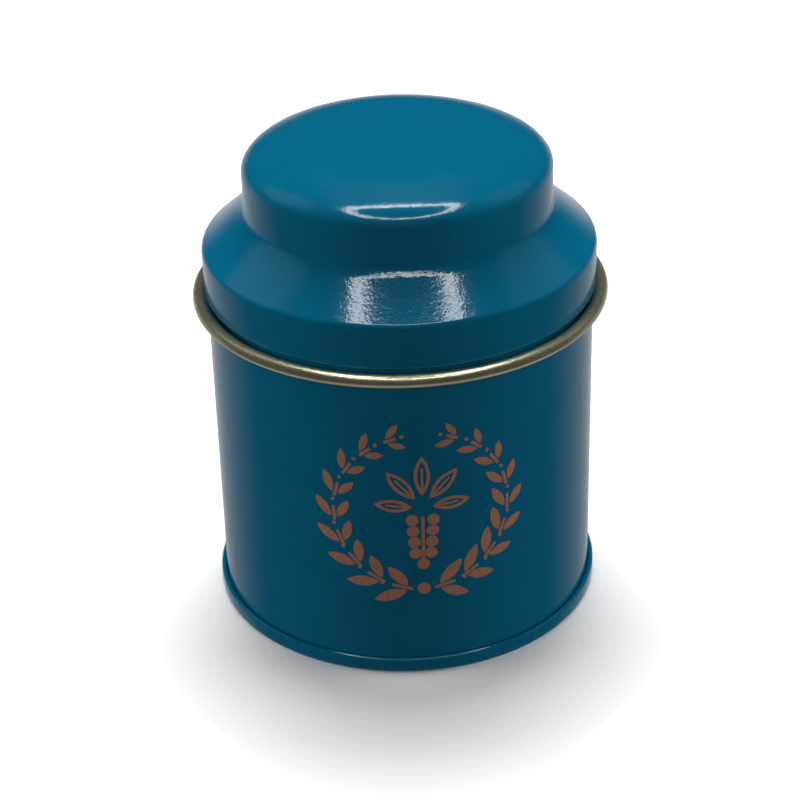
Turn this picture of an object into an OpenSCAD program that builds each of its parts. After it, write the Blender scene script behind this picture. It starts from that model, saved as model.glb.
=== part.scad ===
// A small round tin for spices: a rolled tinplate body with a curled mouth, a bottom end held on by a
// double seam, and a stepped plug lid that lifts straight off. Millimetres. The origin is the middle of
// the foot that it stands on, +Z is up, and the printed emblem faces -Y.
// Every part but the emblem and the side seam is one thin sheet bent along a path and spun about Z.

/* [Sheet] */
// Thickness of the tinplate
sheet = 0.23; // [0.18:0.01:0.3]

/* [Body] */
// Outer radius of the rolled wall
body_r = 25; // [20:0.5:40]
// Height of the middle of the curled mouth above the foot
curl_z = 43.7; // [30:0.5:80]
// Outer radius of the curl's own tube
curl_tube_r = 1.065; // [0.8:0.05:1.6]
// Gap between the curl's rolled-in edge and the wall
curl_end_gap = 0.02; // [0.01:0.01:0.1]

/* [Bottom seam] */
// Height of the double seam
seam_h = 2.15; // [1.9:0.05:3]
// Gap left between one layer of the seam and the next
seam_gap = 0.02; // [0.01:0.01:0.04]
// Outer radius of the two corners that the seam stands on
foot_bend = 0.45; // [0.35:0.05:0.6]
// Height of the underside of the sunk panel above the foot
panel_z = 2.6; // [2.2:0.1:5]
// Radius at the outer edge of the panel
panel_bend = 0.7; // [0.4:0.1:1.5]
// Width of the flat ring outside the panel's raised middle
panel_ring = 4.2; // [2.5:0.1:8]
// Height of the step up to the panel's middle
panel_step = 0.7; // [0.5:0.1:1.5]

/* [Side seam] */
// Width of the flattened lock seam
lock_w = 4.2; // [3:0.2:6]
// Gap between the lock seam and the curl above it or the double seam below it
lock_gap = 0.12; // [0.05:0.01:0.3]

/* [Lid] */
// How far the lid's band stands out past the wall
band_over = 0.35; // [0.25:0.05:0.6]
// Height of the band, from its lower edge to the corner of the shoulder
band_h = 5.9; // [3:0.1:15]
// Rise of the sloping shoulder
shoulder_rise = 5.2; // [2:0.1:10]
// Outer radius of the raised cap
cap_r = 19.7; // [12:0.1:22]
// Height of the cap, from the shoulder to the middle of its domed top
cap_h = 8.8; // [6.5:0.1:20]
// Rounding of the cap's edge, next to its side
edge_bend = 1.85; // [1:0.05:3]
// Rounding of the cap's edge, next to its top
rim_bend = 4.4; // [2:0.1:5]
// Rounding of the brow, between the edge and the nearly flat middle
brow_bend = 15; // [8:0.5:16]
// Rounding where the shoulder meets the cap
cap_fillet = 0.8; // [0.4:0.1:2]
// Width of the steeper collar at the top of the shoulder
collar_l = 0.75; // [0.3:0.05:1.5]
// Bend between the collar and the rest of the shoulder
collar_bend = 3; // [1:0.5:5]
// Rounding where the shoulder meets the band
corner_bend = 0.9; // [0.5:0.1:2]

/* [Plug] */
// Clearance between the lid's plug and the inside of the wall
plug_clearance = 0.15; // [0.08:0.01:0.3]
// Clearance between the lid's band and the curl that it sits on
seat_gap = 0.03; // [0.01:0.01:0.1]
// Rounding of the band's lower edge, which sits on the curl
seat_bend = 0.43; // [0.3:0.01:0.5]
// Depth of the plug below the band's lower edge
plug_depth = 8; // [4:0.5:20]
// Outer radius of the hem curled into the plug's lower edge
hem_tube_r = 0.6; // [0.5:0.05:1]

/* [Emblem] */
// Thickness of the printed ink
ink = 0.04; // [0.03:0.01:0.08]
// Height of the middle of the emblem
emblem_z = 24; // [18:0.5:60]
// Turn of the emblem from the front, in degrees
emblem_turn = 4.6; // [-20:0.2:20]
// Radius of the wreath's stem
wreath_r = 11.3; // [8:0.1:12]
// Pairs of leaves on each half of the wreath
wreath_pairs = 9; // [6:1:10]
// Length of the wreath's lowest leaves
leaf_l = 4.4; // [3:0.1:5]
// Width of the printed lines
line_w = 0.42; // [0.3:0.02:0.6]

/* [Hidden] */
$fn = 96;

teal = "#0b4a5e";
gold = "#a08a48";
copper = "#8a5a44";

// The largest turn and the longest stretch of a bend that one flat step of its outline covers
bend_step = 10;
bend_length = 3;

// Radii of the body
bore_r = body_r - sheet;
curl_r = bore_r + curl_tube_r;

// The double seam's layers, from the wall outwards: the end's hook, the wall's hook, the seaming wall.
// Each hook is folded round at the radius of one layer, so that it lies one layer from what it hooks.
layer = sheet + seam_gap;
fold_rise = layer + sheet / 2;
fold_z = layer + fold_rise;
hook_end_gap = 0.15;
chuck_r = bore_r - seam_gap;
seam_wall_r = body_r + 3 * layer;
foot_w = seam_wall_r - (chuck_r - sheet);

// The lid
band_r = body_r + band_over;
plug_r = bore_r - plug_clearance;
neck_bend = band_r - plug_r - seat_bend;
seat_reach = curl_tube_r + seat_bend + seat_gap;
seat_z = curl_z + sqrt(pow(seat_reach, 2) - pow(curl_r - band_r + seat_bend, 2));
band_z = seat_z - seat_bend;
corner_z = band_z + band_h;
top_z = corner_z + shoulder_rise + cap_h;

// Turns down the shoulder: out of the cap's side into the collar, into the slope, and along the slope
tilt = 90 - atan2(shoulder_rise, band_r - cap_r);
collar_turn = tilt - 3.4;
ease_turn = 5;
sag_turn = 1;
shoulder_turn = collar_turn + ease_turn + sag_turn;
fillet_r = cap_fillet + sheet / 2;
corner_r = corner_bend - sheet / 2;
fillet_v = collar_turn - 90;
ease_v = fillet_v + ease_turn;
sag_v = ease_v + sag_turn;
fillet_in = fillet_r * (sin(fillet_v) + 1) + collar_l * cos(fillet_v);
ease_in = collar_bend * (sin(ease_v) - sin(fillet_v));
corner_in = corner_r * (sin(sag_v) + 1);

// The slope's own bend takes up the width that the shoulder's other moves leave
slope_w = band_r - cap_r - fillet_in - ease_in - corner_in;
slope_bend = slope_w / (sin(sag_v) - sin(ease_v));
collar_drop = fillet_r * cos(fillet_v) - collar_l * sin(fillet_v);
ease_drop = collar_bend * (cos(ease_v) - cos(fillet_v));
sag_drop = slope_bend * (cos(sag_v) - cos(ease_v));
shoulder_drop = collar_drop + ease_drop + sag_drop + corner_r * cos(sag_v);
corner_end_z = corner_z - corner_bend * tan(shoulder_turn / 2);
hem_turn = 300;

// How steeply the cap's top slopes where its dome, brow and two edge bends meet
dome_slope = 3.5;
brow_slope = 25;
edge_slope = 49;
edge_in = edge_bend * (1 - sin(edge_slope));
rim_in = rim_bend * (sin(edge_slope) - sin(brow_slope));
brow_in = brow_bend * (sin(brow_slope) - sin(dome_slope));
dome_bend = (cap_r - edge_in - rim_in - brow_in) / sin(dome_slope);
dome_drop = dome_bend * (1 - cos(dome_slope)) + brow_bend * (cos(dome_slope) - cos(brow_slope))
    + rim_bend * (cos(brow_slope) - cos(edge_slope)) + edge_bend * cos(edge_slope);

// ---- Bent sheet: a path of moves, each [length] straight on or [radius, turn] round a bend ----

function heading(v) = [cos(v), sin(v)];
function side(v) = [-sin(v), cos(v)];

// How many flat steps a move takes: one if straight, else enough for its turn and for its length
function steps(move) =
    len(move) == 1
    ? 1
    : ceil(max(abs(move[1]) / bend_step, move[0] * abs(move[1]) * PI / 180 / bend_length));

// The place and heading a share t of the way along a move
function along(p, v, move, t) =
    len(move) == 1
    ? [p + t * move[0] * heading(v), v]
    : let (to = sign(move[1]) * move[0], turned = v + t * move[1])
        [p + to * side(v) - to * side(turned), turned];

// Every place and heading along the whole path
function track(p, v, moves, i = 0) =
    i == len(moves)
    ? [[p, v]]
    : let (move = moves[i], end = along(p, v, move, 1), n = steps(move))
        concat([for (k = [0 : n - 1]) along(p, v, move, k / n)], track(end[0], end[1], moves, i + 1));

module bent_sheet(p, v, moves) {
    path = track(p, v, moves);
    last = len(path) - 1;
    rotate_extrude() polygon(concat(
        [for (s = path) s[0] + sheet / 2 * side(s[1])],
        [for (k = [last : -1 : 0]) path[k][0] - sheet / 2 * side(path[k][1])]
    ));
}

// ---- Body ----

// The rolled wall, with the hook at its foot that the double seam folds in
module body_wall() {
    color(teal) bent_sheet([body_r - sheet / 2, curl_z], -90, [
        [curl_z - fold_z],
        [layer, 180],
        [seam_h - sheet - seam_gap - hook_end_gap - fold_z]
    ]);
}

// The wall's upper edge, rolled outwards, so that the inside's gold lacquer shows
module rim_curl() {
    curl_turn = 180 + acos((sheet + curl_end_gap) / curl_tube_r - 1);
    color(gold) bent_sheet([body_r - sheet / 2, curl_z], 90, [
        [curl_tube_r - sheet / 2, -curl_turn]
    ]);
}

// The hooked edges of the wall's sheet, flattened together up the back
module side_seam() {
    seam_r = body_r + 2 * sheet;
    low = seam_h + lock_gap;
    high = curl_z - curl_tube_r - lock_gap;
    color(teal) translate([0, 0, low]) intersection() {
        linear_extrude(high - low) difference() {
            circle(seam_r);
            circle(body_r);
        }
        translate([-lock_w / 2, 0, 0]) cube([lock_w, seam_r + 1, high - low]);
    }
}

// The bottom end: a sunk panel, and an edge folded over the wall's hook
module bottom_end() {
    bend_r = panel_bend - sheet / 2;
    foot_r = foot_bend - sheet / 2;
    step_r = panel_step / 2;
    ring_r = chuck_r - panel_ring;
    panel_top = panel_z + sheet / 2 + panel_step;
    color(teal) bent_sheet([0, panel_top], 0, [
        [ring_r - 2 * step_r],
        [step_r, -90],
        [step_r, 90],
        [chuck_r - panel_bend - ring_r],
        [bend_r, -90],
        [panel_z + sheet - panel_bend - foot_bend],
        [foot_r, 90],
        [foot_w - 2 * foot_bend],
        [foot_r, 90],
        [seam_h - foot_bend - fold_rise],
        [layer, 180],
        [seam_h - fold_rise - fold_z - hook_end_gap]
    ]);
}

// ---- Lid ----

// One stamped sheet, from the middle of the dome down to the hem inside the body's mouth
module lid() {
    hem_r = hem_tube_r - sheet / 2;
    color(teal) bent_sheet([0, top_z - sheet / 2], 0, [
        [dome_bend - sheet / 2, -dome_slope],
        [brow_bend - sheet / 2, dome_slope - brow_slope],
        [rim_bend - sheet / 2, brow_slope - edge_slope],
        [edge_bend - sheet / 2, edge_slope - 90],
        [top_z - dome_drop - shoulder_drop - corner_end_z],
        [fillet_r, collar_turn],
        [collar_l],
        [collar_bend, ease_turn],
        [slope_bend, sag_turn],
        [corner_r, -shoulder_turn],
        [corner_end_z - seat_z],
        [seat_bend - sheet / 2, -90],
        [neck_bend + sheet / 2, 90],
        [plug_depth - neck_bend - hem_tube_r],
        [hem_r, -hem_turn]
    ]);
}

// ---- Emblem: a wreath round a sprig of peppercorns, printed on the wall ----

// Prints a flat shape on the wall, u to the right along the wall and v up from the emblem's middle
module print_at(u, v) {
    reach = body_r + 1;
    intersection() {
        rotate([0, 0, u / body_r * 180 / PI]) translate([0, 0, v]) rotate([90, 0, 0])
            translate([0, 0, body_r / 2]) linear_extrude(reach - body_r / 2) children();
        translate([0, 0, -reach]) linear_extrude(2 * reach) difference() {
            circle(body_r + ink);
            circle(body_r);
        }
    }
}

// A pointed leaf from the origin along +X, or the same leaf with its outline drawn in by an inset
module leaf(l, w, inset = 0) {
    arc_r = (l * l + w * w) / (4 * w);
    translate([l / 2, 0]) intersection() {
        translate([0, w / 2 - arc_r]) circle(arc_r - inset);
        translate([0, arc_r - w / 2]) circle(arc_r - inset);
    }
}

// A leaf in outline, with its midrib
module open_leaf(l, w) {
    difference() {
        leaf(l, w);
        difference() {
            leaf(l, w, line_w);
            translate([0, -line_w / 3]) square([l * 0.7, line_w * 2 / 3]);
        }
    }
}

// One joint of the wreath: a length of stem, a leaf on each side, and a bead at the stem's end
module wreath_joint(l) {
    leaf_gap = 0.9 * line_w;
    square([0.62 * l, line_w], center = true);
    translate([-0.15 * l, leaf_gap]) rotate(34) leaf(l, 0.36 * l);
    translate([-0.15 * l, -leaf_gap]) rotate(-34) leaf(0.86 * l, 0.34 * l);
    translate([0.6 * l, 0]) circle(0.6 * line_w);
}

// Two curved halves that rise from a bead at the bottom, with leaves that shorten towards the tips
module wreath() {
    first = 14;
    span = 146;
    for (half = [-1, 1], i = [0 : wreath_pairs - 1]) {
        share = i / (wreath_pairs - 1);
        a = -90 + half * (first + span * share);
        print_at(wreath_r * cos(a), wreath_r * sin(a))
            rotate(a + half * 90) wreath_joint(leaf_l * (1 - 0.42 * share));
    }
    print_at(0, -wreath_r) circle(2 * line_w);
}

// Five open leaves over a bunch of peppercorns that hangs in two columns from the stem
module sprig() {
    leaf_v = 1.6;
    corn_r = 0.8;
    rows = 4;
    print_at(0, leaf_v + 1) rotate(90) open_leaf(0.5 * wreath_r, 0.18 * wreath_r);
    for (half = [-1, 1]) {
        print_at(half * 0.9, leaf_v + 0.5) rotate(90 - half * 42) open_leaf(0.47 * wreath_r, 0.17 * wreath_r);
        print_at(half * 1.3, leaf_v - 0.7) rotate(90 - half * 84) open_leaf(0.42 * wreath_r, 0.16 * wreath_r);
        for (row = [0 : rows - 1])
            print_at(half * (1.35 - 0.12 * row), leaf_v - 2.6 - 2.05 * corn_r * row) circle(corn_r);
    }
    print_at(0, leaf_v - 2.1 - corn_r * rows) square([line_w, 2 * corn_r * rows], center = true);
    print_at(0, leaf_v - 2.6 - 2.05 * corn_r * rows) circle(corn_r);
}

module emblem() {
    color(copper) translate([0, 0, emblem_z]) rotate([0, 0, emblem_turn]) {
        wreath();
        sprig();
    }
}

body_wall();
rim_curl();
side_seam();
bottom_end();
lid();
emblem();
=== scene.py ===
"""A small round spice tin in glossy dark teal lacquer, with a gold curl at its mouth and a plug lid.

Each operator below makes one piece of the tin, or the studio that it stands in. Lengths are in metres.
The tin's pieces are sheets of tinplate: a path is drawn by pushing one vertex along it, spun round Z
and given the sheet's thickness.
"""

import math

import bpy
from bpy.props import FloatProperty, FloatVectorProperty, IntProperty, PointerProperty
from mathutils import Matrix, Vector


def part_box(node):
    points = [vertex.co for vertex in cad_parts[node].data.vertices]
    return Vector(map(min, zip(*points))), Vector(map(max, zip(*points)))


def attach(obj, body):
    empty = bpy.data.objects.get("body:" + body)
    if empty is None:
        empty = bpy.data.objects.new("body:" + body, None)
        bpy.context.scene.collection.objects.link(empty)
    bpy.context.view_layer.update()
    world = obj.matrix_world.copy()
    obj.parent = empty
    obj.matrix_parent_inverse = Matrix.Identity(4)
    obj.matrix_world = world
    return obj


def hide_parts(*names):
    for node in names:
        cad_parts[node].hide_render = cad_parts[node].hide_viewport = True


bl_info = {
    "name": "Spice Tin",
    "version": (1, 0, 0),
    "blender": (4, 5, 0),
    "location": "View3D > Sidebar > Spice Tin",
    "description": "Makes a small lidded spice tin and the studio that it stands in",
    "category": "Add Mesh",
}

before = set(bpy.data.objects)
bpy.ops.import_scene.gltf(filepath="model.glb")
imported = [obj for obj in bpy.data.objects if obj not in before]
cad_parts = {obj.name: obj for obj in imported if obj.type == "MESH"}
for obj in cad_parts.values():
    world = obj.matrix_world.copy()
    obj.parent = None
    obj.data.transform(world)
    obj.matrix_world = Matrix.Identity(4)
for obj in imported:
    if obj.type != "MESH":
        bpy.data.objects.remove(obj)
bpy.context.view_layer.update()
MM = 0.001

CURL_LOW, CURL_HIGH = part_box("rim_curl")
SEAM_LOW, SEAM_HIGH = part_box("side_seam")
END_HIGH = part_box("bottom_end")[1]
LID_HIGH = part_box("lid")[1]
CURL_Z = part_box("body_wall")[1].z

# What the frame's boxes don't give, and a user wouldn't change. Turns and leans are in degrees
FLARE = 45
CURL_TURN = 310
HOOK_END_GAP = 0.15 * MM
PLUG_CLEARANCE = 0.15 * MM
PLUG_DEPTH = 8 * MM
HEM_R = 0.6 * MM
HEM_TURN = -300
SEAT_BEND = 0.43 * MM
SEAT_GAP = 0.03 * MM
GOLD_ROUGHNESS = 0.3


# ---- Sizes and colours that a user would change ----


class TinSizes(bpy.types.PropertyGroup):
    """Sizes of the tin's sheets that the frame's boxes don't give"""

    sheet: FloatProperty(
        name="Sheet", description="Thickness of the tinplate", default=0.23 * MM, unit="LENGTH"
    )
    wall_r: FloatProperty(
        name="Wall radius", description="Outer radius of the rolled wall",
        default=25 * MM, unit="LENGTH"
    )
    seam_gap: FloatProperty(
        name="Seam gap", description="Gap between the layers of the double seam",
        default=0.02 * MM, unit="LENGTH"
    )
    seam_h: FloatProperty(
        name="Seam height", description="Height of the double seam",
        default=2.15 * MM, unit="LENGTH"
    )
    foot_bend: FloatProperty(
        name="Foot bend", description="Outer radius of the foot's two corners",
        default=0.45 * MM, unit="LENGTH"
    )
    panel_z: FloatProperty(
        name="Panel height", description="Height of the sunk panel's underside",
        default=2.6 * MM, unit="LENGTH"
    )
    curl_r: FloatProperty(
        name="Curl radius", description="Outer radius of the curl's rolled section",
        default=0.85 * MM, unit="LENGTH"
    )
    cap_r: FloatProperty(
        name="Cap radius", description="Outer radius of the lid's raised cap",
        default=19.7 * MM, unit="LENGTH"
    )
    cap_h: FloatProperty(
        name="Cap height", description="Height of the cap above the shoulder",
        default=8.8 * MM, unit="LENGTH"
    )
    band_h: FloatProperty(
        name="Band height", description="Height of the lid's upright band",
        default=5.9 * MM, unit="LENGTH"
    )
    shoulder_rise: FloatProperty(
        name="Shoulder rise", description="Rise of the sloping shoulder",
        default=5.2 * MM, unit="LENGTH"
    )
    segments: IntProperty(
        name="Segments", description="Flat steps round a whole turn", default=256, min=64, max=360
    )


class TinColours(bpy.types.PropertyGroup):
    """Colours of the tin's finishes"""

    teal: FloatVectorProperty(
        name="Teal", description="Colour of the lacquer", subtype="COLOR",
        default=(0.001, 0.105, 0.19), min=0, max=1,
    )
    gold: FloatVectorProperty(
        name="Gold", description="Colour of the gold lacquer over bright tinplate", subtype="COLOR",
        default=(0.6, 0.57, 0.38), min=0, max=1,
    )
    copper: FloatVectorProperty(
        name="Copper", description="Colour of the printed ink", subtype="COLOR",
        default=(0.34, 0.15, 0.09), min=0, max=1,
    )


# ---- Paths of bent sheet ----


def heading(angle):
    return Vector((math.cos(angle), math.sin(angle)))


def side(angle):
    return Vector((-math.sin(angle), math.cos(angle)))


def track(start, angle, moves):
    """Places along a path of moves, each (length,) straight on or (radius, turn in degrees) round a bend."""
    place = Vector(start)
    angle = math.radians(angle)
    places = [place.copy()]
    for move in moves:
        if len(move) == 1:
            place = place + move[0] * heading(angle)
            places.append(place)
            continue
        radius, turn = move[0], math.radians(move[1])
        to = math.copysign(radius, turn)
        centre = place + to * side(angle)
        step = 7.5 if radius > 0.6 * MM else 15
        count = math.ceil(max(abs(move[1]) / step, radius * abs(turn) / MM))
        places += [centre - to * side(angle + turn * k / count) for k in range(1, count + 1)]
        angle += turn
        place = places[-1]
    return places


def deselect_all():
    for obj in bpy.context.selected_objects:
        obj.select_set(False)


def finish_modifier(obj, kind, **settings):
    """Adds a modifier and applies it."""
    modifier = obj.modifiers.new(kind.title(), kind)
    for key, value in settings.items():
        setattr(modifier, key, value)
    bpy.context.view_layer.objects.active = obj
    bpy.ops.object.modifier_apply(modifier=modifier.name)


def spun_sheet(name, places, thickness, segments, turn=math.tau, start=0.0):
    """Draws the places as one line of edges, spins it about Z and thickens it evenly on both sides."""
    deselect_all()
    first = Matrix.Rotation(start, 4, "Z") @ Vector((places[0].x, 0, places[0].y))
    bpy.ops.mesh.primitive_plane_add(size=thickness, location=first)
    obj = bpy.context.active_object
    obj.name = name
    obj.data.name = name
    bpy.ops.object.mode_set(mode="EDIT")
    bpy.ops.mesh.select_mode(type="VERT")
    bpy.ops.mesh.select_all(action="SELECT")
    bpy.ops.mesh.merge(type="CENTER")
    for here, there in zip(places, places[1:]):
        step = Matrix.Rotation(start, 3, "Z") @ Vector((there.x - here.x, 0, there.y - here.y))
        bpy.ops.mesh.extrude_region_move(TRANSFORM_OT_translate={"value": step})
    bpy.ops.mesh.select_all(action="SELECT")
    bpy.ops.mesh.spin(steps=segments, angle=turn, center=(0, 0, 0), axis=(0, 0, 1))
    bpy.ops.mesh.select_all(action="SELECT")
    bpy.ops.mesh.remove_doubles(threshold=0.001 * MM)
    bpy.ops.mesh.normals_make_consistent(inside=False)
    bpy.ops.object.mode_set(mode="OBJECT")
    bpy.ops.object.transform_apply(location=True, rotation=True, scale=True)
    # Slot 0 is for the side that the normals point to, and slot 1 for the other
    obj.data.materials.append(None)
    obj.data.materials.append(None)
    finish_modifier(
        obj, "SOLIDIFY", thickness=thickness, offset=0, use_even_offset=True,
        use_quality_normals=True, material_offset=1,
    )
    bpy.ops.object.shade_smooth_by_angle(angle=math.radians(40))
    return obj


def place_piece(obj, body, node, slot, *materials):
    """Puts a finished piece on its body in place of its CAD node."""
    for slot_number, material in enumerate(materials):
        obj.data.materials[slot_number] = material
    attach(obj, body)
    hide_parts(node)


# ---- Shader maths ----


class Link:
    """A node's output, on which plain arithmetic adds Math nodes."""

    def __init__(self, shader, socket):
        self.shader = shader
        self.socket = socket

    def maths(self, operation, *values):
        return self.shader.node("ShaderNodeMath", {"operation": operation}, *values)

    def __add__(self, other):
        return self.maths("ADD", self, other)

    def __mul__(self, other):
        return self.maths("MULTIPLY", self, other)

    __radd__ = __add__
    __rmul__ = __mul__


class Shader:
    """A node tree that is built by calls."""

    def __init__(self, tree):
        self.tree = tree
        tree.nodes.clear()

    def node(self, kind, settings=None, *values, output=0, **named):
        """Adds a node, sets it up, fills or links its sockets, and gives one of its outputs."""
        node = self.tree.nodes.new(kind)
        for key, value in (settings or {}).items():
            setattr(node, key, value)
        for key, value in [*enumerate(values), *named.items()]:
            socket = node.inputs[key if isinstance(key, int) else key.replace("_", " ")]
            if isinstance(value, Link):
                self.tree.links.new(value.socket, socket)
            else:
                socket.default_value = value
        return Link(self, node.outputs[output]) if len(node.outputs) else None

    def noise(self, place, scale, detail=2.0, roughness=0.5):
        return self.node(
            "ShaderNodeTexNoise", None, Vector=place, Scale=scale, Detail=detail, Roughness=roughness
        )

    def band(self, value, low, high, to_low=0.0, to_high=1.0):
        """A smooth step from to_low to to_high as value goes from low to high."""
        return self.node(
            "ShaderNodeMapRange", {"interpolation_type": "SMOOTHSTEP"}, value, low, high, to_low, to_high
        )

    def mix(self, share, first, second):
        """A mix of two colours."""
        node = self.tree.nodes.new("ShaderNodeMix")
        node.data_type = "RGBA"
        for socket, value in ((node.inputs[0], share), (node.inputs[6], first), (node.inputs[7], second)):
            if isinstance(value, Link):
                self.tree.links.new(value.socket, socket)
            else:
                socket.default_value = value
        return Link(self, node.outputs[2])

    def bump(self, height, distance, normal=None):
        links = {"Height": height, "Distance": distance, "Strength": 1.0}
        if normal:
            links["Normal"] = normal
        return self.node("ShaderNodeBump", None, **links)

    def finish(self, surface):
        out = self.tree.nodes.new("ShaderNodeOutputMaterial")
        self.tree.links.new(surface.socket, out.inputs["Surface"])


def rgba(colour, gain=1.0):
    return (*[min(1.0, c * gain) for c in colour], 1.0)


def new_material(name):
    material = bpy.data.materials.new(name)
    material.use_nodes = True
    return material, Shader(material.node_tree)


def lacquer(name, colour):
    """Glossy lacquer over tinplate: orange peel, a slow unevenness, and a fine grain in its gloss."""
    material, s = new_material(name)
    place = s.node("ShaderNodeTexCoord", output=3)
    peel = s.noise(place, 2800, detail=1.0, roughness=0.5)
    swell = s.noise(place, 900, detail=0.0)
    grain = s.noise(place, 9000, detail=2.0)
    tint = s.mix(s.band(s.noise(place, 240, detail=3.0), 0.3, 0.7), rgba(colour, 0.97), rgba(colour, 1.03))
    normal = s.bump(swell, 8e-6, s.bump(peel, 11e-6))
    surface = s.node(
        "ShaderNodeBsdfPrincipled", None,
        Base_Color=tint, Roughness=s.band(grain, 0.2, 0.8, 0.08, 0.13), IOR=1.42, Normal=normal,
    )
    s.finish(surface)
    return material


def gold_lacquer(name, colour):
    """Gold lacquer over bright tinplate, with the fine lines that rolling leaves round the tin."""
    material, s = new_material(name)
    place = s.node("ShaderNodeTexCoord", output=3)
    lines = s.noise(
        s.node("ShaderNodeMapping", None, Vector=place, Scale=(1, 1, 9)), 1500, detail=3.0, roughness=0.6
    )
    patch = s.noise(place, 260, detail=3.0)
    tint = s.mix(s.band(patch, 0.3, 0.75), rgba(colour, 0.9), rgba(colour, 1.06))
    normal = s.bump(lines, 1.2e-6)
    surface = s.node(
        "ShaderNodeBsdfPrincipled", None,
        Base_Color=tint, Metallic=0.88, Normal=normal,
        Roughness=s.band(lines, 0.2, 0.8, GOLD_ROUGHNESS - 0.05, GOLD_ROUGHNESS + 0.08),
    )
    s.finish(surface)
    return material


def printed_ink(name, colour):
    """Matt copper-brown ink, a little uneven where the plate laid it on."""
    material, s = new_material(name)
    place = s.node("ShaderNodeTexCoord", output=3)
    speckle = s.noise(place, 5200, detail=3.0, roughness=0.65)
    tint = s.mix(s.band(speckle, 0.3, 0.7), rgba(colour, 0.72), rgba(colour, 1.2))
    surface = s.node(
        "ShaderNodeBsdfPrincipled", None,
        Base_Color=tint, Roughness=0.45, Normal=s.bump(speckle, 1.5e-6),
    )
    s.finish(surface)
    return material


# ---- The tin's pieces ----


class PieceOperator:
    """What the piece operators share"""

    bl_options = {"REGISTER", "UNDO"}

    def read(self, context):
        self.sizes = context.scene.tin_sizes
        self.colours = context.scene.tin_colours
        self.layer = self.sizes.sheet + self.sizes.seam_gap
        self.fold_rise = self.layer + self.sizes.sheet / 2
        self.bore_r = self.sizes.wall_r - self.sizes.sheet
        # The wall leans out at flare_z, and runs straight for flare_l before it rolls round
        curl_r = self.sizes.curl_r
        lean = math.radians(FLARE)
        self.flare_l = (CURL_HIGH.x - self.sizes.wall_r + self.sizes.sheet - 2 * curl_r) / math.sin(lean)
        self.flare_z = CURL_LOW.z + curl_r - self.flare_l * math.cos(lean)
        return self.sizes


class TIN_OT_body_wall(PieceOperator, bpy.types.Operator):
    """Makes the rolled wall, with the hook at its foot"""

    bl_idname = "tin.body_wall"
    bl_label = "Body Wall"

    def execute(self, context):
        size = self.read(context)
        fold_z = self.layer + self.fold_rise
        hook_top = size.seam_h - size.sheet - size.seam_gap - HOOK_END_GAP
        path = track((size.wall_r - size.sheet / 2, self.flare_z), -90, [
            (self.flare_z - fold_z,),
            (self.layer, 180),
            (hook_top - fold_z,),
        ])
        wall = spun_sheet("wall", path, size.sheet, size.segments)
        # This sheet's normals point into the tin, so the inside's finish comes first
        place_piece(
            wall, "tin", "body_wall", "body_lacquer",
            gold_lacquer("wall_inside", self.colours.gold), lacquer("wall_lacquer", self.colours.teal),
        )
        return {"FINISHED"}


class TIN_OT_rim_curl(PieceOperator, bpy.types.Operator):
    """Makes the gold curl round the mouth, slimmer than the frame's, on a short outward flare of the wall"""

    bl_idname = "tin.rim_curl"
    bl_label = "Rim Curl"

    def execute(self, context):
        size = self.read(context)
        bend = size.curl_r - size.sheet / 2
        path = track((size.wall_r - size.sheet / 2, self.flare_z), 90, [
            (bend, -FLARE),
            (self.flare_l,),
            (bend, FLARE - CURL_TURN),
        ])
        curl = spun_sheet("curl", path, size.sheet, size.segments)
        gold = gold_lacquer("curl_gold", self.colours.gold)
        place_piece(curl, "tin", "rim_curl", "gold_lacquer", gold, gold)
        return {"FINISHED"}


class TIN_OT_side_seam(PieceOperator, bpy.types.Operator):
    """Makes the flattened lock seam up the back of the wall"""

    bl_idname = "tin.side_seam"
    bl_label = "Side Seam"

    def execute(self, context):
        size = self.read(context)
        middle_r = size.wall_r + size.sheet
        half = math.asin(SEAM_HIGH.x / SEAM_HIGH.y)
        path = track((middle_r, SEAM_HIGH.z), -90, [(SEAM_HIGH.z - SEAM_LOW.z,)])
        strip = spun_sheet("lock_seam", path, 2 * size.sheet, 8, 2 * half, math.pi / 2 - half)
        finish_modifier(strip, "BEVEL", width=0.12 * MM, segments=3, limit_method="ANGLE")
        paint = lacquer("seam_lacquer", self.colours.teal)
        place_piece(strip, "tin", "side_seam", "seam_lacquer", paint, paint)
        return {"FINISHED"}


class TIN_OT_bottom_end(PieceOperator, bpy.types.Operator):
    """Makes the sunk bottom end, with its edge folded over the wall's hook"""

    bl_idname = "tin.bottom_end"
    bl_label = "Bottom End"

    def execute(self, context):
        size = self.read(context)
        chuck_r = self.bore_r - size.seam_gap
        panel_bend = 0.7 * MM
        step = END_HIGH.z - size.panel_z - size.sheet
        ring_r = chuck_r - 4.2 * MM
        foot_w = size.wall_r + 3 * self.layer - (chuck_r - size.sheet)
        foot_r = size.foot_bend - size.sheet / 2
        fold_z = self.layer + self.fold_rise
        path = track((0, size.panel_z + size.sheet / 2 + step), 0, [
            (ring_r - step,),
            (step / 2, -90),
            (step / 2, 90),
            (chuck_r - panel_bend - ring_r,),
            (panel_bend - size.sheet / 2, -90),
            (size.panel_z + size.sheet - panel_bend - size.foot_bend,),
            (foot_r, 90),
            (foot_w - 2 * size.foot_bend,),
            (foot_r, 90),
            (size.seam_h - size.foot_bend - self.fold_rise,),
            (self.layer, 180),
            (size.seam_h - self.fold_rise - fold_z - HOOK_END_GAP,),
        ])
        end = spun_sheet("bottom", path, size.sheet, size.segments)
        place_piece(
            end, "tin", "bottom_end", "foot_lacquer",
            lacquer("foot_lacquer", self.colours.teal), gold_lacquer("foot_inside", self.colours.gold),
        )
        return {"FINISHED"}


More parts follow.
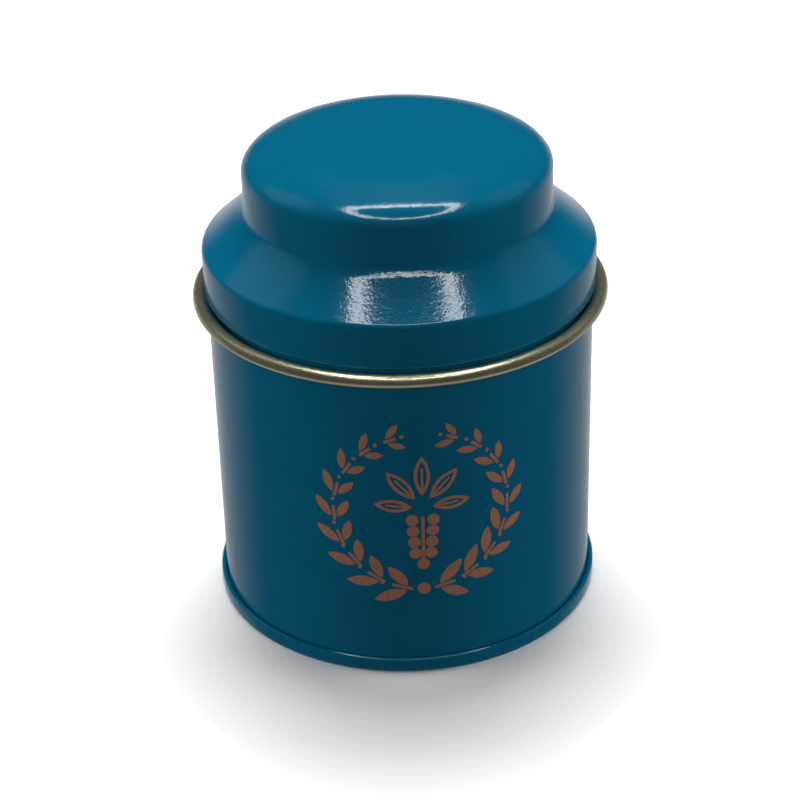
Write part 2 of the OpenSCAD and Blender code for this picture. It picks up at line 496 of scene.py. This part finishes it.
class TIN_OT_lid(PieceOperator, bpy.types.Operator):
    """Makes the stamped lid, from the middle of its dome to the hem of its plug"""

    bl_idname = "tin.lid"
    bl_label = "Lid"

    def execute(self, context):
        size = self.read(context)
        band_r = LID_HIGH.x
        plug_r = self.bore_r - PLUG_CLEARANCE
        half = size.sheet / 2
        neck_bend = band_r - plug_r - SEAT_BEND
        tube_r = (CURL_HIGH.x - self.bore_r) / 2
        reach = tube_r + SEAT_BEND + SEAT_GAP
        seat_z = CURL_Z + math.sqrt(reach ** 2 - (self.bore_r + tube_r - band_r + SEAT_BEND) ** 2)
        corner_z = seat_z - SEAT_BEND + size.band_h
        # The shoulder: a tight fillet, a narrow steeper collar, a small bend and a nearly straight slope
        tilt = 90 - math.degrees(math.atan2(size.shoulder_rise, band_r - size.cap_r))
        turns = (tilt - 3.4, 5, 1)
        collar_l = 0.75 * MM
        collar_r = 3 * MM
        fillet_r = 0.8 * MM + half
        corner_r = 0.9 * MM - half
        rises = [math.sin(math.radians(sum(turns[:k]) - 90)) for k in range(4)]
        runs = [math.cos(math.radians(sum(turns[:k]) - 90)) for k in range(4)]
        # The long bend takes up the width that the others leave
        width = band_r - size.cap_r - fillet_r * (rises[1] + 1) - collar_l * runs[1]
        width -= collar_r * (rises[2] - rises[1]) + corner_r * (rises[3] + 1)
        slope_r = width / (rises[2] - rises[3])
        fall = fillet_r * runs[1] - collar_l * rises[1] + collar_r * (runs[2] - runs[1])
        fall += slope_r * (runs[2] - runs[3]) + corner_r * runs[3]
        corner_end = corner_z - (half + corner_r) * math.tan(math.radians(sum(turns) / 2))
        slopes = (3.5, 25, 49, 90)
        bends = (15 * MM, 4.4 * MM, 1.85 * MM)
        sines = [math.sin(math.radians(v)) for v in slopes]
        cosines = [math.cos(math.radians(v)) for v in slopes]
        dome = (size.cap_r - sum(b * (sines[k + 1] - sines[k]) for k, b in enumerate(bends))) / sines[0]
        drop = dome * (1 - cosines[0]) + sum(b * (cosines[k] - cosines[k + 1]) for k, b in enumerate(bends))
        top_z = corner_z + size.shoulder_rise + size.cap_h
        path = track((0, top_z - half), 0, [
            (dome - half, -slopes[0]),
            *((b - half, slopes[k] - slopes[k + 1]) for k, b in enumerate(bends)),
            (top_z - drop - fall - corner_end,),
            (fillet_r, turns[0]),
            (collar_l,),
            (collar_r, turns[1]),
            (slope_r, turns[2]),
            (corner_r, -sum(turns)),
            (corner_end - seat_z,),
            (SEAT_BEND - half, -90),
            (neck_bend + half, 90),
            (PLUG_DEPTH - neck_bend - HEM_R,),
            (HEM_R - half, HEM_TURN),
        ])
        lid = spun_sheet("lid_sheet", path, size.sheet, size.segments)
        place_piece(
            lid, "lid", "lid", "lid_lacquer",
            lacquer("lid_lacquer", self.colours.teal), gold_lacquer("lid_inside", self.colours.gold),
        )
        return {"FINISHED"}


class TIN_OT_emblem(PieceOperator, bpy.types.Operator):
    """Inks the printed emblem"""

    bl_idname = "tin.emblem"
    bl_label = "Emblem"

    def execute(self, context):
        self.read(context)
        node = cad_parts["emblem"]
        node.data.materials.clear()
        node.data.materials.append(printed_ink("copper_ink", self.colours.copper))
        return {"FINISHED"}


# ---- The studio ----


class TIN_OT_studio(bpy.types.Operator):
    """Lays the pale floor and sets up the lamps, the surroundings and the camera"""

    bl_idname = "tin.studio"
    bl_label = "Studio"
    bl_options = {"REGISTER", "UNDO"}

    def floor(self):
        deselect_all()
        bpy.ops.mesh.primitive_plane_add(size=6, location=(0, 0, 0))
        floor = bpy.context.active_object
        floor.name = "floor"
        floor.visible_glossy = False
        floor.visible_diffuse = False
        material, s = new_material("pale_floor")
        surface = s.node("ShaderNodeBsdfDiffuse", None, (0.9, 0.9, 0.9, 1.0))
        s.finish(surface)
        floor.data.materials.append(material)

    def ring_lamp(self):
        """A flat ring of light overhead, a little in front of the tin, for the highlights."""
        reach = 0.6
        elevation = math.radians(78)
        place = Vector((0.03 * reach, -reach * math.cos(elevation), reach * math.sin(elevation) + 0.05))
        outer, inner = (reach * math.tan(math.radians(angle)) for angle in (24.2, 20))
        deselect_all()
        bpy.ops.mesh.primitive_circle_add(vertices=128, radius=outer, fill_type="NGON")
        ring = bpy.context.active_object
        ring.name = "ring_lamp"
        bpy.ops.object.mode_set(mode="EDIT")
        bpy.ops.mesh.select_all(action="SELECT")
        bpy.ops.mesh.inset(thickness=outer - inner)
        bpy.ops.mesh.delete(type="FACE")
        bpy.ops.object.mode_set(mode="OBJECT")
        ring.location = place
        ring.rotation_euler = (elevation - math.pi / 2, 0, 0)
        ring.visible_camera = False
        ring.visible_diffuse = False
        material, s = new_material("ring_light")
        s.finish(s.node("ShaderNodeEmission", None, Color=(1, 1, 1, 1), Strength=16.0))
        ring.data.materials.append(material)

    def soft_lamp(self, name, azimuth, elevation, level):
        """A big soft lamp, which isn't seen in the gloss; azimuth 0 is in front and 90 is to the right."""
        reach, size = 0.9, 0.6
        around, rise = math.radians(azimuth - 90), math.radians(elevation)
        away = Vector((math.cos(around) * math.cos(rise), math.sin(around) * math.cos(rise), math.sin(rise)))
        bpy.ops.object.light_add(type="AREA", location=reach * away + Vector((0, 0, 0.03)))
        lamp = bpy.context.active_object
        lamp.name = name
        lamp.rotation_euler = away.to_track_quat("Z", "Y").to_euler()
        lamp.data.shape = "DISK"
        lamp.data.size = size
        lamp.data.energy = level * (math.pi * reach) ** 2
        lamp.visible_glossy = False
        lamp.visible_camera = False

    def surroundings(self):
        """Dark in front and overhead; pale underfoot, and low down behind and to the sides."""
        world = bpy.data.worlds.new("studio")
        world.use_nodes = True
        bpy.context.scene.world = world
        s = Shader(world.node_tree)
        direction = s.node("ShaderNodeTexCoord", output=0)
        split = s.tree.nodes.new("ShaderNodeSeparateXYZ")
        s.tree.links.new(direction.socket, split.inputs[0])
        back, up = Link(s, split.outputs[1]), Link(s, split.outputs[2])
        low = s.band(up, 0.15, -0.2) * s.node("ShaderNodeMapRange", None, back, 0.13, 0.85, 0.03, 0.62)
        underfoot = s.band(up, -0.62, -0.85, 0.0, 0.38)
        level = low + underfoot + 0.01
        # A faint patch overhead for the cap, and a soft one to each side for the shoulder's sheen
        patches = (
            ((0, 0.62, 0.785), 0.955, 0.08),
            ((-0.73, 0.26, 0.64), 0.93, 0.32),
            ((0.73, 0.26, 0.64), 0.93, 0.18),
        )
        for toward, edge, glow in patches:
            near = s.node("ShaderNodeVectorMath", {"operation": "DOT_PRODUCT"}, direction, toward, output=1)
            level = level + s.band(near, edge, 0.985, 0.0, glow)
        background = s.node("ShaderNodeBackground", None, Color=(1, 1, 1, 1), Strength=level)
        out = s.tree.nodes.new("ShaderNodeOutputWorld")
        s.tree.links.new(background.socket, out.inputs["Surface"])

    def camera(self):
        aim = Vector((-0.00043, 0, 0.02607))
        distance = 0.2931
        elevation = math.radians(29.71)
        bpy.ops.object.camera_add()
        camera = bpy.context.active_object
        camera.name = "camera"
        camera.data.lens = 98.5
        camera.data.sensor_width = 36
        camera.data.clip_start = 0.01
        turn = Matrix.Rotation(math.pi / 2 - elevation, 4, "X") @ Matrix.Rotation(math.radians(-1.55), 4, "Z")
        away = Vector((0, -math.cos(elevation), math.sin(elevation)))
        camera.matrix_world = Matrix.Translation(aim + distance * away) @ turn
        bpy.context.scene.camera = camera

    def execute(self, context):
        self.floor()
        self.ring_lamp()
        self.soft_lamp("top_lamp", 180, 68, 1.5)
        self.soft_lamp("front_lamp", 0, 22, 0.29)
        self.soft_lamp("left_lamp", -92, 15, 0.65)
        self.soft_lamp("right_lamp", 92, 15, 0.65)
        self.surroundings()
        self.camera()
        context.scene.view_settings.view_transform = "Standard"
        return {"FINISHED"}


class TIN_PT_panel(bpy.types.Panel):
    """Lists the tin's pieces"""

    bl_idname = "TIN_PT_panel"
    bl_label = "Spice Tin"
    bl_space_type = "VIEW_3D"
    bl_region_type = "UI"
    bl_category = "Spice Tin"

    def draw(self, context):
        for group in (context.scene.tin_sizes, context.scene.tin_colours):
            column = self.layout.column(align=True)
            for name in group.__annotations__:
                column.prop(group, name)
        for operator in OPERATORS:
            self.layout.operator(operator.bl_idname)


OPERATORS = (
    TIN_OT_body_wall,
    TIN_OT_rim_curl,
    TIN_OT_side_seam,
    TIN_OT_bottom_end,
    TIN_OT_lid,
    TIN_OT_emblem,
    TIN_OT_studio,
)
CLASSES = (TinSizes, TinColours, *OPERATORS, TIN_PT_panel)


def register():
    for cls in CLASSES:
        bpy.utils.register_class(cls)
    bpy.types.Scene.tin_sizes = PointerProperty(type=TinSizes)
    bpy.types.Scene.tin_colours = PointerProperty(type=TinColours)


def unregister():
    del bpy.types.Scene.tin_colours
    del bpy.types.Scene.tin_sizes
    for cls in reversed(CLASSES):
        bpy.utils.unregister_class(cls)


def main():
    register()
    bpy.ops.tin.body_wall()
    bpy.ops.tin.rim_curl()
    bpy.ops.tin.side_seam()
    bpy.ops.tin.bottom_end()
    bpy.ops.tin.lid()
    bpy.ops.tin.emblem()
    bpy.ops.tin.studio()


if __name__ == "__main__":
    main()
